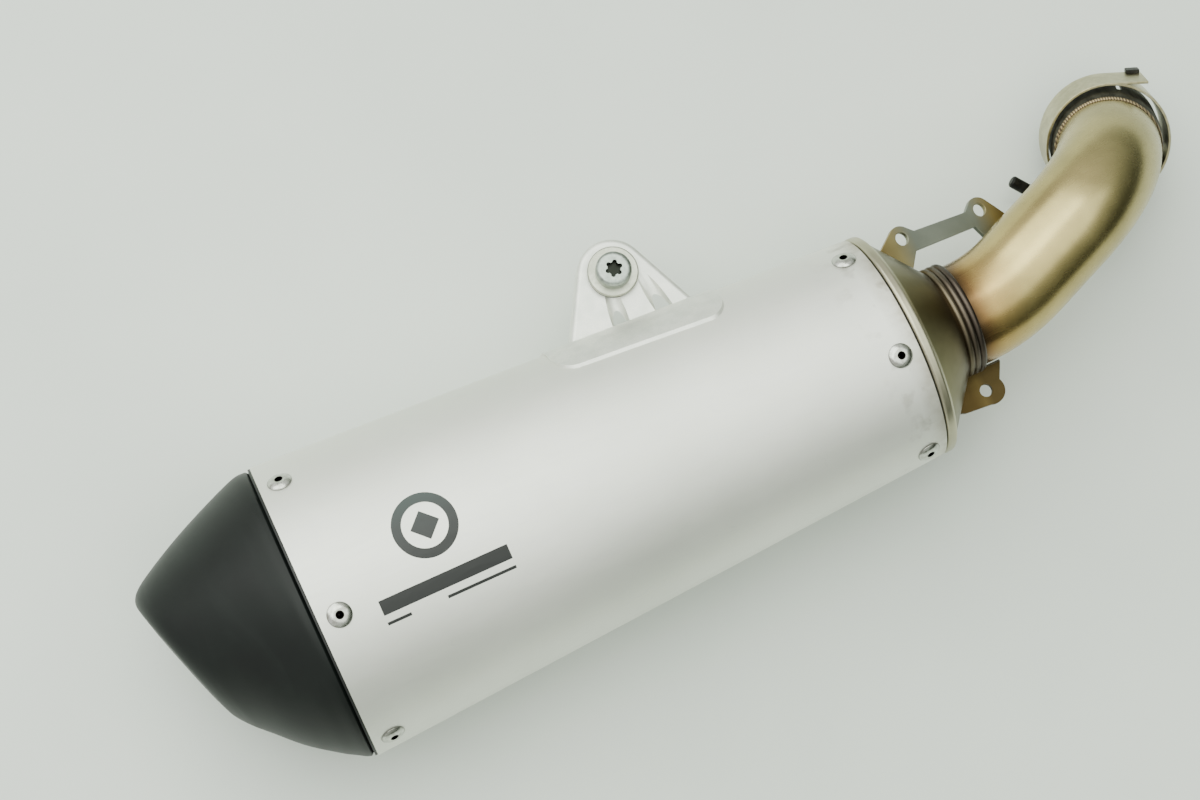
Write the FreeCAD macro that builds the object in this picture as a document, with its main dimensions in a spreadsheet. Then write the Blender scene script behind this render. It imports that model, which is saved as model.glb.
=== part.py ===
"""Motorcycle exhaust muffler: oval can, end cap, bent inlet pipe with its clamp, and brackets.

Built about the can's own axis: X runs along it from the tail to the inlet, Y points to the
hanger and Z to the outer face. Every node is then placed so that the origin is on the hanger
bolt's axis, at the seat against the motorcycle's frame. Millimetres.
"""
import FreeCAD, Part
import math
import os
import re
from FreeCAD import Placement, Rotation, Vector

os.makedirs("parts", exist_ok=True)
doc = FreeCAD.newDocument("muffler")

# ---------------------------------------------------------------- driving dimensions
DIMENSIONS = {
    # can: a tapered oval sleeve, half sizes of its two end ovals
    "can_length": 290.0,
    "tail_half_width": 70.2,
    "tail_half_height": 61.2,
    "front_half_width": 54.3,
    "front_half_height": 46.3,
    "can_wall": 1.5,
    "spigot_length": 22.0,
    "spigot_wall": 1.8,
    "spigot_gap": 0.1,
    "gasket_thickness": 1.2,
    "gasket_inset": 0.5,
    # blind rivets, six round each end
    "rivet_inset": 9.5,
    "rivet_phase_deg": -10.0,
    "rivet_shank_radius": 2.4,
    "rivet_head_radius": 5.6,
    "rivet_head_height": 1.7,
    "rivet_bore_radius": 1.5,
    "rivet_grip": 3.6,
    "rivet_body_below": 1.6,
    "rivet_rim": 0.35,
    # end cap
    "cap_wall": 2.6,
    "outlet_radius": 19.0,
    "outlet_tube_wall": 1.5,
    "outlet_tube_length": 71.5,
    "outlet_aside": 2.0,
    "outlet_start": -70.0,
    # front cap and collar
    "lip_width": 6.0,
    "cone_width": 20.5,
    "cap_sheet": 1.5,
    "collar_radius": 26.3,
    "collar_width": 9.0,
    "collar_rib": 0.9,
    # inlet pipe
    "pipe_radius": 24.8,
    "pipe_wall": 1.3,
    "lead_in": 14.0,
    "first_bend_radius": 80.0,
    "first_bend_deg": 22.75,
    "first_bend_plane_deg": 103.0,
    "between_bends": 31.0,
    "second_bend_radius": 56.0,
    "second_bend_deg": 66.0,
    "second_bend_plane_deg": -86.0,
    "socket_length": 29.0,
    "socket_outer_radius": 26.8,
    "socket_bore_radius": 25.5,
    "socket_flare": 5.0,
    "slot_width": 2.6,
    "slot_length": 17.0,
    # clamp, round the socket
    "clamp_width": 19.8,
    "clamp_outer_radius": 30.3,
    "clamp_sheet": 1.3,
    "clamp_gap": 12.0,
    "clamp_bolt_offset": 40.0,
    "clamp_bolt_radius": 3.0,
    "clamp_stud_reach": 28.6,
    "clamp_tilt_deg": 6.0,
    "clamp_setback": 1.0,
    "clamp_tail_angle_deg": 148.0,
    "clamp_tail_length": 18.5,
    "clamp_lug_back": 7.5,
    "clamp_flange_radius": 6.4,
    "clamp_flange": 1.4,
    "clamp_head_flats": 8.0,
    "clamp_nut_flats": 10.0,
    # hanger
    "hanger_along": 186.5,
    "hanger_out": 84.0,
    "ear_face": 6.0,
    "ear_sheet": 3.0,
    "ear_depth": 20.0,
    "ear_radius": 16.2,
    "foot_start": 141.0,
    "foot_end": 223.0,
    "foot_half_height": 36.0,
    "foot_sheet": 1.2,
    "grommet_radius": 10.0,
    "hanger_sleeve_radius": 6.0,
    "hanger_shoulder_radius": 4.75,
    "hanger_thread_radius": 3.93,
    "hanger_head_radius": 8.3,
    "hanger_flange_radius": 11.8,
    "running_gap": 0.06,
    "seat_level": -4.6,
    "hanger_bolt_reach": 18.0,
    # heat shield bracket and lower tab
    "bracket_sheet": 2.5,
    "bracket_hole_radius": 3.25,
    "bracket_pitch": 46.4,
    "bracket_lean_deg": 17.6,
    "tab_hole_radius": 3.0,
    # inside
    "core_radius": 24.8,
    "core_wall": 1.0,
    "perforation_radius": 2.2,
    "wrap_thickness": 4.0,
    "plate_sheet": 1.5,
}

sheet = doc.addObject("Spreadsheet::Sheet", "dims")
for row, (alias, value) in enumerate(DIMENSIONS.items(), start=1):
    sheet.set("A%d" % row, alias)
    sheet.set("B%d" % row, str(value))
    sheet.setAlias("B%d" % row, alias)
doc.recompute()


def dim(alias):
    """A driving dimension, read back from the sheet."""
    return float(sheet.get(alias))


NODES = {}
ACROSS_X = Rotation(Vector(1, 1, 1), 120)  # turns local X, Y, Z to Y, Z, X
TO_ORIGIN = Placement(Vector(-dim("hanger_along"), -dim("hanger_out"), -dim("seat_level")),
                      Rotation())


def node(name, item):
    """Keeps item as a sub-part of its own, placed in the row's frame."""
    item.Label = name
    NODES[name] = item
    return item


def set_sizes(item, **formulas):
    """Binds properties to sheet formulas; each alias in a formula stands for its cell."""
    for prop, formula in formulas.items():
        bound = re.sub(r"[a-z_]{3,}",
                       lambda word: ("dims." if word.group() in DIMENSIONS else "") + word.group(),
                       formula)
        item.setExpression(prop.replace("__", "."), bound)
    return item


def oval(name, half_width, half_height, along, across="0", tilt=0.0):
    """An oval section square to the can's axis, or tilted about Z by tilt degrees."""
    item = doc.addObject("Part::Ellipse", name)
    item.Placement = Placement(Vector(), Rotation(Vector(0, 0, 1), tilt) * ACROSS_X)
    set_sizes(item, MajorRadius=half_width, MinorRadius=half_height)
    set_sizes(item, Placement__Base__x=along, Placement__Base__y=across)
    return item


def loft(name, sections, ruled=True):
    item = doc.addObject("Part::Loft", name)
    item.Sections = sections
    item.Solid = True
    item.Ruled = ruled
    return item


def cut(name, base, tool):
    item = doc.addObject("Part::Cut", name)
    item.Base = base
    item.Tool = tool
    return item


def fuse(name, *items):
    item = doc.addObject("Part::MultiFuse", name)
    item.Shapes = list(items)
    return item


def cylinder(name, radius, height, base=Vector(), rotation=ACROSS_X):
    item = doc.addObject("Part::Cylinder", name)
    item.Placement = Placement(base, rotation)
    set_sizes(item, Radius=radius, Height=height)
    return item


def feature(name, shape):
    """A shape made with Part's own functions, for what no document feature fits."""
    item = doc.addObject("Part::Feature", name)
    item.Shape = shape
    return item


def turned(profile, axis=Vector(0, 0, 1)):
    """A solid of revolution from (radius, height) points, about the local Z axis."""
    points = [Vector(r, 0, z) for r, z in profile]
    face = Part.Face(Part.makePolygon(points + points[:1]))
    return face.revolve(Vector(), axis, 360)


def half_width(along):
    share = along / dim("can_length")
    return dim("tail_half_width") + (dim("front_half_width") - dim("tail_half_width")) * share


def half_height(along):
    share = along / dim("can_length")
    return dim("tail_half_height") + (dim("front_half_height") - dim("tail_half_height")) * share


def can_point(along, angle):
    """A point of the can's outer surface; angle runs from +Z towards +Y."""
    return Vector(along, half_width(along) * math.sin(angle), half_height(along) * math.cos(angle))


def can_normal(along, angle):
    step = 0.01
    round_it = can_point(along, angle + step) - can_point(along, angle - step)
    along_it = can_point(along + step, angle) - can_point(along - step, angle)
    return round_it.cross(along_it).normalize() * -1.0


WIDTH_AT = "(tail_half_width + (front_half_width - tail_half_width) * ({x}) / can_length)"
HEIGHT_AT = "(tail_half_height + (front_half_height - tail_half_height) * ({x}) / can_length)"


def can_section(name, along, inset):
    """An oval of the can's own taper at a place along it, moved in by inset."""
    return oval(name, WIDTH_AT.format(x=along) + " - (" + inset + ")",
                HEIGHT_AT.format(x=along) + " - (" + inset + ")", along)


def can_loft(name, start, end, inset):
    ends = [can_section(name + "_a", start, inset), can_section(name + "_b", end, inset)]
    return loft(name, ends, ruled=False)


# ---------------------------------------------------------------- rivets
def rivet_places():
    """Twelve seats, six round each end: a placement with local Z along the outward normal."""
    places = {"rear": [], "front": []}
    for end, along in (("rear", dim("rivet_inset")),
                       ("front", dim("can_length") - dim("rivet_inset"))):
        for count in range(6):
            angle = math.radians(dim("rivet_phase_deg") + 60 * count)
            turn = Rotation(Vector(0, 0, 1), can_normal(along, angle))
            places[end].append(Placement(can_point(along, angle), turn))
    return places


def rivet_shape():
    """Domed head, plain shank, and the hollow that the pulled mandrel leaves."""
    head = dim("rivet_head_radius")
    rise = dim("rivet_head_height")
    shank = dim("rivet_shank_radius")
    hollow = dim("rivet_bore_radius")
    rim = dim("rivet_rim")
    seat = 0.02  # the head stands this little off the sleeve
    deep = -dim("rivet_grip") - dim("rivet_body_below")
    arc = Part.Arc(Vector(head, 0, rim), Vector(head * 0.66, 0, rise * 0.86),
                   Vector(hollow, 0, rise)).toShape()
    path = [Vector(hollow, 0, rise), Vector(hollow, 0, deep + 2.0), Vector(0, 0, deep + 1.2),
            Vector(0, 0, deep), Vector(shank, 0, deep), Vector(shank, 0, seat),
            Vector(head, 0, seat), Vector(head, 0, rim)]
    wire = Part.Wire([arc] + Part.makePolygon(path).Edges)
    return Part.Face(wire).revolve(Vector(), Vector(0, 0, 1), 360)


def placed_copies(shape, places):
    copies = []
    for place in places:
        one = shape.copy()
        one.Placement = place
        copies.append(one)
    return Part.makeCompound(copies)


SEATS = rivet_places()
hole = Part.makeCylinder(dim("rivet_shank_radius") + 0.05, 16, Vector(0, 0, -10))
rear_holes = feature("rear_rivet_holes", placed_copies(hole, SEATS["rear"]))
front_holes = feature("front_rivet_holes", placed_copies(hole, SEATS["front"]))
node("rear_rivets", feature("rear_rivets", placed_copies(rivet_shape(), SEATS["rear"])))
node("front_rivets", feature("front_rivets", placed_copies(rivet_shape(), SEATS["front"])))

# ---------------------------------------------------------------- sleeve
tube = cut("can_tube", can_loft("can_outside", "0", "can_length", "0"),
           can_loft("can_inside", "0", "can_length", "can_wall"))
node("sleeve", cut("sleeve", cut("sleeve_rear_drilled", tube, rear_holes), front_holes))


def spigot(name, start, end):
    """The ring of a cap that slips inside the sleeve and takes the rivets."""
    outer = can_loft(name + "_outer", start, end, "can_wall + spigot_gap")
    inner = can_loft(name + "_inner", start, end, "can_wall + spigot_gap + spigot_wall")
    return cut(name, outer, inner)


# ---------------------------------------------------------------- end cap
# (place along, centre across, half width, half height, tilt): the top side falls at 25 degrees,
# the bottom side rounds in faster, and the face leans 17.5 degrees.
CAP_OVALS = [(0.0, 0.0, 70.0, 61.0, 0.0), (-4.0, 0.3, 69.6, 60.6, 1.0),
             (-17.0, 1.0, 63.4, 55.3, 3.0), (-33.0, 1.9, 54.3, 47.4, 6.5),
             (-49.0, 3.2, 43.5, 38.2, 12.5), (-56.5, 3.7, 37.6, 33.2, 16.0),
             (-59.5, 3.6, 34.4, 30.4, 17.5)]


def cap_loft(name, inset, rows):
    sections = []
    for count, (along, across, width, height, tilt) in enumerate(rows):
        sections.append(oval("%s_%d" % (name, count), "%g - (%s)" % (width, inset),
                             "%g - (%s)" % (height, inset),
                             "%g - gasket_thickness" % along, "%g" % across, tilt))
    return loft(name, sections, ruled=False)


cap_body = fuse("cap_body", cap_loft("cap_outside", "0", CAP_OVALS),
                can_loft("cap_spigot_outer", "-gasket_thickness", "spigot_length",
                         "can_wall + spigot_gap"))
cap_hollow = fuse("cap_hollow", cap_loft("cap_inside", "cap_wall", CAP_OVALS[:-1]),
                  can_loft("cap_spigot_inner", "-gasket_thickness - 2", "spigot_length + 1",
                           "can_wall + spigot_gap + spigot_wall"))
outlet_hole = cylinder("outlet_hole", "outlet_radius + outlet_tube_wall + 0.1", "90",
                       Vector(-95, dim("outlet_aside"), 0))
end_cap = cut("cap_shell", cap_body, cap_hollow)
end_cap = cut("cap_open", end_cap, outlet_hole)
node("end_cap", cut("end_cap", end_cap, rear_holes))

node("tail_gasket", cut("tail_gasket",
                        can_loft("gasket_outer", "-gasket_thickness", "0", "gasket_inset"),
                        can_loft("gasket_inner", "-gasket_thickness", "0",
                                 "can_wall + spigot_gap")))

# ---------------------------------------------------------------- inside the can
core = cut("core_tube", cylinder("core_outer", "core_radius", "can_length - 4", Vector(6, 0, 0)),
           cylinder("core_inner", "core_radius - core_wall", "can_length - 4", Vector(6, 0, 0)))
ROWS_OF_HOLES = 11
HOLES_ROUND = 8


def perforations():
    """Staggered rows of holes through the core's wall."""
    pitch = (dim("can_length") - 70) / (ROWS_OF_HOLES - 1)
    drills = []
    for row in range(ROWS_OF_HOLES):
        for count in range(HOLES_ROUND // 2):
            angle = math.pi * (count + 0.5 * (row % 2)) / (HOLES_ROUND / 2)
            across = Vector(0, math.sin(angle), math.cos(angle))
            start = Vector(36 + row * pitch, 0, 0) - across * 30
            drills.append(Part.makeCylinder(dim("perforation_radius"), 60, start, across))
    return Part.makeCompound(drills)


node("perforated_core", cut("perforated_core", core, feature("perforation_drills", perforations())))
wool_start = "spigot_length + 0.5"
wool_end = "can_length - spigot_length - 0.5"
wool_span = "can_length - 2 * spigot_length - 1"
WOOL_START = Vector(dim("spigot_length") + 0.5, 0, 0)
wrap = cylinder("wrap_outer", "core_radius + wrap_thickness", wool_span, WOOL_START)
wrap_bore = cylinder("wrap_bore", "core_radius + 0.1", wool_span, WOOL_START)
node("steel_wool_wrap", cut("steel_wool_wrap", wrap, wrap_bore))
wool_bore = cylinder("wool_bore", "core_radius + wrap_thickness + 0.1", wool_span, WOOL_START)
node("packing_wool", cut("packing_wool", can_loft("wool", wool_start, wool_end, "can_wall + 0.3"),
                         wool_bore))


def cap_plate(name, along, bore):
    """A sheet that closes a spigot's inside and carries the core."""
    inset = "can_wall + spigot_gap + spigot_wall + 0.05"
    plate = can_loft(name + "_sheet", along, along + " + plate_sheet", inset)
    return cut(name, plate, cylinder(name + "_bore", bore, "20", Vector(-5, 0, 0)))


node("tail_plate", cap_plate("tail_plate", "2", "core_radius - 2.2"))
OUTLET_START = Vector(dim("outlet_start"), dim("outlet_aside"), 0)
tube_outer = cylinder("outlet_outer", "outlet_radius + outlet_tube_wall", "outlet_tube_length",
                      OUTLET_START)
tube_inner = cylinder("outlet_bore", "outlet_radius", "outlet_tube_length", OUTLET_START)
beyond_face = doc.addObject("Part::Box", "beyond_face")
set_sizes(beyond_face, Length="30", Width="120", Height="120")
FACE_TURN = Rotation(Vector(0, 0, 1), CAP_OVALS[-1][4])
FACE_CENTRE = Vector(CAP_OVALS[-1][0] - dim("gasket_thickness") - 0.3, CAP_OVALS[-1][1], 0)
BOX_CORNER = FACE_CENTRE + FACE_TURN.multVec(Vector(-30, -60, -60))
beyond_face.Placement = Placement(BOX_CORNER, FACE_TURN)
node("outlet_tube", cut("outlet_tube", cut("outlet_pipe", tube_outer, tube_inner), beyond_face))

# ---------------------------------------------------------------- front cap and collar
lip = can_loft("lip", "can_length + 0.6", "can_length + lip_width", "-0.2")
lip_round = doc.addObject("Part::Fillet", "lip_round")
doc.recompute()
lip_round.Base = lip
lip_round.Edges = [(count, 1.8, 1.8) for count, edge in enumerate(lip.Shape.Edges, start=1)
                   if edge.BoundBox.XLength < 0.01]


def cone(name, inset):
    """Oval at the lip to round at the collar."""
    width = WIDTH_AT.format(x="can_length")
    height = HEIGHT_AT.format(x="can_length")
    wide = oval(name + "_wide", width + " - 1.8 - " + inset, height + " - 1.8 - " + inset,
                "can_length + lip_width - 0.5")
    narrow = oval(name + "_narrow", "collar_radius - " + inset, "collar_radius - 0.001 - " + inset,
                  "can_length + lip_width + cone_width")
    return loft(name, [wide, narrow])


cap_outer = fuse("front_cap_outer", lip_round, cone("cone_outer", "0"),
                 can_loft("front_spigot", "can_length - spigot_length", "can_length + 1",
                          "can_wall + spigot_gap"))
cap_inner = fuse("front_cap_inner", cone("cone_inner", "cap_sheet"),
                 can_loft("front_spigot_bore", "can_length - spigot_length - 1",
                          "can_length + lip_width - 0.5",
                          "can_wall + spigot_gap + spigot_wall"))
neck_bore = cylinder("neck_bore", "pipe_radius + 0.05", "60", Vector(290, 0, 0))
front_shell = cut("front_shell", cap_outer, cap_inner)
front_shell = cut("front_necked", front_shell, neck_bore)
node("front_cap", cut("front_cap", front_shell, front_holes))
node("front_gasket", cut("front_gasket",
                         can_loft("front_seal_outer", "can_length", "can_length + 0.6", "0.8"),
                         can_loft("front_seal_inner", "can_length", "can_length + 0.6",
                                  "can_wall + spigot_gap")))


def collar_shape():
    """Sheet collar with three rolled ribs, turned about the can's axis."""
    start = dim("can_length") + dim("lip_width") + dim("cone_width")
    pitch = dim("collar_width") / 3
    radius = dim("collar_radius")
    edges = []
    for count in range(3):
        low = start + count * pitch
        edges.append(Part.Arc(Vector(low, radius, 0),
                              Vector(low + pitch / 2, radius + dim("collar_rib"), 0),
                              Vector(low + pitch, radius, 0)).toShape())
    bore = dim("pipe_radius") + 0.05
    end = start + dim("collar_width")
    edges += Part.makePolygon([Vector(end, radius, 0), Vector(end, bore, 0),
                               Vector(start, bore, 0), Vector(start, radius, 0)]).Edges
    return Part.Face(Part.Wire(edges)).revolve(Vector(), Vector(1, 0, 0), 360)


node("collar", feature("collar", collar_shape()))

# ---------------------------------------------------------------- inlet pipe
PIPE_START = Vector(dim("can_length") + 3, 0, 0)


def bend(start, ahead, aside, which):
    """An arc that turns ahead towards aside, with the point and directions where it ends."""
    radius = dim(which + "_bend_radius")
    angle = math.radians(dim(which + "_bend_deg"))
    middle, end = [start + ahead * radius * math.sin(swung) + aside * radius * (1 - math.cos(swung))
                   for swung in (angle / 2, angle)]
    way = ahead * math.cos(angle) + aside * math.sin(angle)
    side = aside * math.cos(angle) - ahead * math.sin(angle)
    return Part.Arc(start, middle, end).toShape(), end, way, side


def pipe_route():
    """Tangent runs and arcs of the pipe's centre line, and its end point and direction."""
    collar_end = dim("can_length") + dim("lip_width") + dim("cone_width") + dim("collar_width")
    here = Vector(collar_end + 4, 0, 0)
    edges = [Part.LineSegment(PIPE_START, here).toShape()]
    plane = math.radians(dim("first_bend_plane_deg"))
    arc, here, ahead, aside = bend(here, Vector(1, 0, 0),
                                   Vector(0, math.sin(plane), -math.cos(plane)), "first")
    edges.append(arc)
    onward = here + ahead * dim("between_bends")
    edges.append(Part.LineSegment(here, onward).toShape())
    aside = Rotation(ahead, dim("second_bend_plane_deg")).multVec(aside)
    arc, here, ahead, aside = bend(onward, ahead, aside, "second")
    edges.append(arc)
    return Part.Wire(edges), here, ahead


ROUTE, BEND_END, INLET_WAY = pipe_route()
INLET_MOUTH = BEND_END + INLET_WAY * dim("socket_length")
route = feature("pipe_route", ROUTE)


def swept(name, radius):
    ring = doc.addObject("Part::Circle", name + "_section")
    ring.Placement = Placement(PIPE_START, ACROSS_X)
    set_sizes(ring, Radius=radius)
    sweep = doc.addObject("Part::Sweep", name)
    sweep.Sections = [ring]
    sweep.Spine = (route, ["Edge%d" % count for count in range(1, len(ROUTE.Edges) + 1)])
    sweep.Solid = True
    sweep.Frenet = False
    return sweep


pipe_solid = swept("pipe_outer", "pipe_radius")
node("inlet_pipe", cut("inlet_pipe", pipe_solid, swept("pipe_bore", "pipe_radius - pipe_wall")))

TO_SOCKET = Placement(BEND_END, Rotation(Vector(0, 0, 1), INLET_WAY))


def socket_shape():
    """Flared socket on the pipe's end, slotted so that the clamp can close it."""
    outer = dim("socket_outer_radius")
    bore = dim("socket_bore_radius")
    pipe = dim("pipe_radius")
    flare = dim("socket_flare")
    end = dim("socket_length")
    profile = [(pipe - dim("pipe_wall"), 0.1), (pipe, 0.1), (outer, flare), (outer, end),
               (bore, end), (bore, flare)]
    body = turned(profile)
    slots = []
    for count in range(4):
        slot = Part.makeBox(dim("slot_width"), 12, dim("slot_length") + 1,
                            Vector(-dim("slot_width") / 2, 20, end - dim("slot_length")))
        slot.rotate(Vector(), Vector(0, 0, 1), 45 + 90 * count)
        slots.append(slot)
    return body.cut(Part.makeCompound(slots))


def in_place(shape, place):
    moved = shape.copy()
    moved.Placement = place.multiply(moved.Placement)
    return moved


node("inlet_socket", feature("inlet_socket", in_place(socket_shape(), TO_SOCKET)))
bead = [(dim("pipe_radius") + 0.05, -1.6), (dim("pipe_radius") + 0.9, -1.1),
        (dim("pipe_radius") + 1.1, -0.4), (dim("pipe_radius") + 0.8, 0.05),
        (dim("pipe_radius") + 0.05, 0.05)]
node("socket_weld", feature("socket_weld", in_place(turned(bead), TO_SOCKET)))

# ---------------------------------------------------------------- clamp
# Built about its own axis with local Z out of the socket's mouth and local X to the bolt.
BOLT_SIDE = Vector(-0.748, -0.524, -0.407)
CLAMP_LEAN = Vector(-0.162, 0.075, -0.012).normalize()


def clamp_place():
    """The loose clamp's own frame: a little askew on the socket."""
    axis = INLET_WAY + CLAMP_LEAN * math.tan(math.radians(dim("clamp_tilt_deg")))
    axis = axis.normalize()
    side = BOLT_SIDE - axis * BOLT_SIDE.dot(axis)
    side = side.normalize()
    middle = INLET_MOUTH - INLET_WAY * (dim("clamp_width") / 2 + dim("clamp_setback"))
    return Placement(middle, Rotation(side, Vector(), axis, "ZXY"))


TO_CLAMP = clamp_place()


def clamp_band_shape():
    """Open strap: its ends fold out into two ears, and its outer layer's tail stands off."""
    outer = dim("clamp_outer_radius")
    inner = outer - dim("clamp_sheet")
    width = dim("clamp_width")
    gap = dim("clamp_gap") / 2
    ring = Part.makeCylinder(outer, width, Vector(0, 0, -width / 2))
    ring = ring.cut(Part.makeCylinder(inner, width, Vector(0, 0, -width / 2)))
    ring = ring.cut(Part.makeBox(20, 2 * gap, width, Vector(20, -gap, -width / 2)))
    reach = dim("clamp_bolt_offset")
    hole = Part.makeCylinder(dim("clamp_bolt_radius") + dim("running_gap"), 40,
                             Vector(reach, -20, 0), Vector(0, 1, 0))
    start = math.sqrt(inner ** 2 - gap ** 2)
    band = ring
    for way in (1, -1):
        low = gap if way > 0 else -gap - dim("clamp_sheet")
        ear = Part.makeBox(reach - start, dim("clamp_sheet"), width,
                           Vector(start, low, -width / 2))
        tip = Part.makeCylinder(width / 2, dim("clamp_sheet"), Vector(reach, low, 0),
                                Vector(0, 1, 0))
        band = band.fuse(ear).fuse(tip)
    tail = Part.makeBox(dim("clamp_sheet"), dim("clamp_tail_length"), width,
                        Vector(inner, 0, -width / 2))
    tail.rotate(Vector(), Vector(0, 0, 1), dim("clamp_tail_angle_deg"))
    return band.cut(hole).fuse(tail).removeSplitter()


def clamp_bridge_shape():
    """Thin inner strap that spans the gap, so that the socket is pressed all round."""
    outer = dim("clamp_outer_radius") - dim("clamp_sheet") - 0.05
    width = dim("clamp_width") - 4
    ring = Part.makeCylinder(outer, width, Vector(0, 0, -width / 2), Vector(0, 0, 1), 70)
    ring = ring.cut(Part.makeCylinder(outer - 0.8, width + 2, Vector(0, 0, -width / 2 - 1)))
    ring.rotate(Vector(), Vector(0, 0, 1), -35)
    return ring


def hexagon(across_flats, start, height):
    """A hexagonal prism along local Y at the clamp bolt's axis."""
    points = []
    for count in range(7):
        angle = math.radians(60 * count)
        radius = across_flats / math.sqrt(3)
        points.append(Vector(dim("clamp_bolt_offset") + radius * math.cos(angle), start,
                             radius * math.sin(angle)))
    return Part.Face(Part.makePolygon(points)).extrude(Vector(0, height, 0))


EAR_OUT = dim("clamp_gap") / 2 + dim("clamp_sheet")
BOLT_AXIS = Vector(dim("clamp_bolt_offset"), 0, 0)
ALONG_BOLT = Vector(0, 1, 0)
FLANGE = dim("clamp_flange_radius")
FLANGE_SHEET = dim("clamp_flange")


def clamp_bolt_shape():
    """M6 hexagon flange bolt, head on the local -Y side, with its thread end free."""
    radius = dim("clamp_bolt_radius")
    chamfer = 0.8
    shank = Part.makeCylinder(radius, EAR_OUT + dim("clamp_stud_reach"),
                              BOLT_AXIS - ALONG_BOLT * (EAR_OUT + chamfer), ALONG_BOLT)
    point = Part.makeCone(radius, radius - chamfer, chamfer,
                          BOLT_AXIS + ALONG_BOLT * (dim("clamp_stud_reach") - chamfer), ALONG_BOLT)
    flange = Part.makeCylinder(FLANGE, FLANGE_SHEET,
                               BOLT_AXIS - ALONG_BOLT * (EAR_OUT + FLANGE_SHEET + 0.02), ALONG_BOLT)
    head = hexagon(dim("clamp_head_flats"), -EAR_OUT - 5.9, 4.6)
    return shank.fuse(point).fuse(flange).fuse(head).removeSplitter()


def clamp_nut_shape():
    """Flange nut on the far ear."""
    flange = Part.makeCylinder(FLANGE, FLANGE_SHEET, BOLT_AXIS + ALONG_BOLT * (EAR_OUT + 0.02),
                               ALONG_BOLT)
    body = hexagon(dim("clamp_nut_flats"), EAR_OUT + FLANGE_SHEET, 4.4)
    bore = Part.makeCylinder(dim("clamp_bolt_radius") + dim("running_gap"), 12,
                             BOLT_AXIS + ALONG_BOLT * (EAR_OUT - 1), ALONG_BOLT)
    return flange.fuse(body).cut(bore)


def clamp_lug_shape():
    """Small locating lug, spot-welded to the strap's tail at its inlet edge."""
    along = dim("clamp_tail_length") - dim("clamp_lug_back")
    lug = Part.makeBox(1.9, 6.5, 5.0, Vector(dim("clamp_outer_radius") + 0.02, along,
                                             dim("clamp_width") / 2 - 4.6))
    lug = lug.makeFillet(0.7, [edge for edge in lug.Edges if edge.BoundBox.XLength > 1])
    lug.rotate(Vector(), Vector(0, 0, 1), dim("clamp_tail_angle_deg"))
    return lug


for name, maker in (("clamp_band", clamp_band_shape), ("clamp_bridge", clamp_bridge_shape),
                    ("clamp_bolt", clamp_bolt_shape), ("clamp_nut", clamp_nut_shape),
                    ("clamp_lug", clamp_lug_shape)):
    node(name, feature(name, in_place(maker(), TO_CLAMP)))


# ---------------------------------------------------------------- sketched bodies
def sketch_on(body, name, role, edges):
    """A closed sketch on one of the body's own origin planes."""
    sketch = body.newObject("Sketcher::SketchObject", name)
    plane = [item for item in body.Origin.OriginFeatures if item.Role == role][0]
    sketch.AttachmentSupport = (plane, [""])
    sketch.MapMode = "FlatFace"
    sketch.addGeometry(edges, False)
    return sketch


def turned_body(name, profile, place):
    """A body turned about its local Z from (radius, height) points."""
    body = doc.addObject("PartDesign::Body", name + "_body")
    points = [Vector(r, z, 0) for r, z in profile]
    lines = [Part.LineSegment(a, b) for a, b in zip(points, points[1:] + points[:1])]
    sketch = sketch_on(body, name + "_profile", "XZ_Plane", lines)
    turn = body.newObject("PartDesign::Revolution", name + "_turn")
    turn.Profile = sketch
    turn.ReferenceAxis = (sketch, ["V_Axis"])
    turn.Angle = 360
    body.Placement = place
    return body


def padded_body(name, outlines, length, place, downwards=False):
    """A body padded from closed outlines; the first is the outside and the rest are holes."""
    body = doc.addObject("PartDesign::Body", name + "_body")
    edges = [edge for outline in outlines for edge in outline]
    sketch = sketch_on(body, name + "_outline", "XY_Plane", edges)
    pad = body.newObject("PartDesign::Pad", name + "_pad")
    pad.Profile = sketch
    pad.Reversed = downwards
    set_sizes(pad, Length=length)
    body.Placement = place
    return body


def circle(centre, radius):
    return [Part.Circle(centre, Vector(0, 0, 1), radius)]


def tangent(centre, radius, point, side):
    """Where a line from point touches the circle, on the given side."""
    away = point - centre
    turn = math.acos(radius / away.Length) * side
    angle = math.atan2(away.y, away.x) + turn
    return centre + Vector(math.cos(angle), math.sin(angle), 0) * radius


def arc_over(centre, radius, start, end):
    """The arc from start to end through the circle's top side."""
    middle = ((start + end) * 0.5 - centre)
    if middle.y < 0:
        middle = middle * -1.0
    return Part.Arc(start, centre + middle.normalize() * radius, end)


# ---------------------------------------------------------------- hanger bracket
BOSS = Vector(dim("hanger_along"), dim("hanger_out"), 0)


def ear_outline(inset):
    """Round over the bolt, with straight sides that spread down to the foot."""
    radius = dim("ear_radius") - inset
    left = Vector(150 + inset, 54, 0)
    right = Vector(219 - inset, 50, 0)
    touch_left = tangent(BOSS, radius, left, -1)
    touch_right = tangent(BOSS, radius, right, 1)
    return [Part.LineSegment(left, touch_left), arc_over(BOSS, radius, touch_left, touch_right),
            Part.LineSegment(touch_right, right), Part.LineSegment(right, left)]


def level(height):
    return Placement(Vector(0, 0, height), Rotation())


ear = padded_body("ear", [ear_outline(0)], "ear_depth", level(dim("ear_face")), downwards=True)
ear_hollow = padded_body("ear_hollow", [ear_outline(2.6)], "ear_depth",
                         level(dim("ear_face") - dim("ear_sheet")), downwards=True)
doc.recompute()
ear_round = doc.addObject("Part::Fillet", "ear_round")
ear_round.Base = ear
ear_round.Edges = [(count, 2.4, 2.4) for count, edge in enumerate(ear.Shape.Edges, start=1)
                   if edge.BoundBox.ZLength < 0.01 and edge.BoundBox.ZMin > dim("ear_face") - 0.1
                   and edge.BoundBox.YMax > 60]


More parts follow.
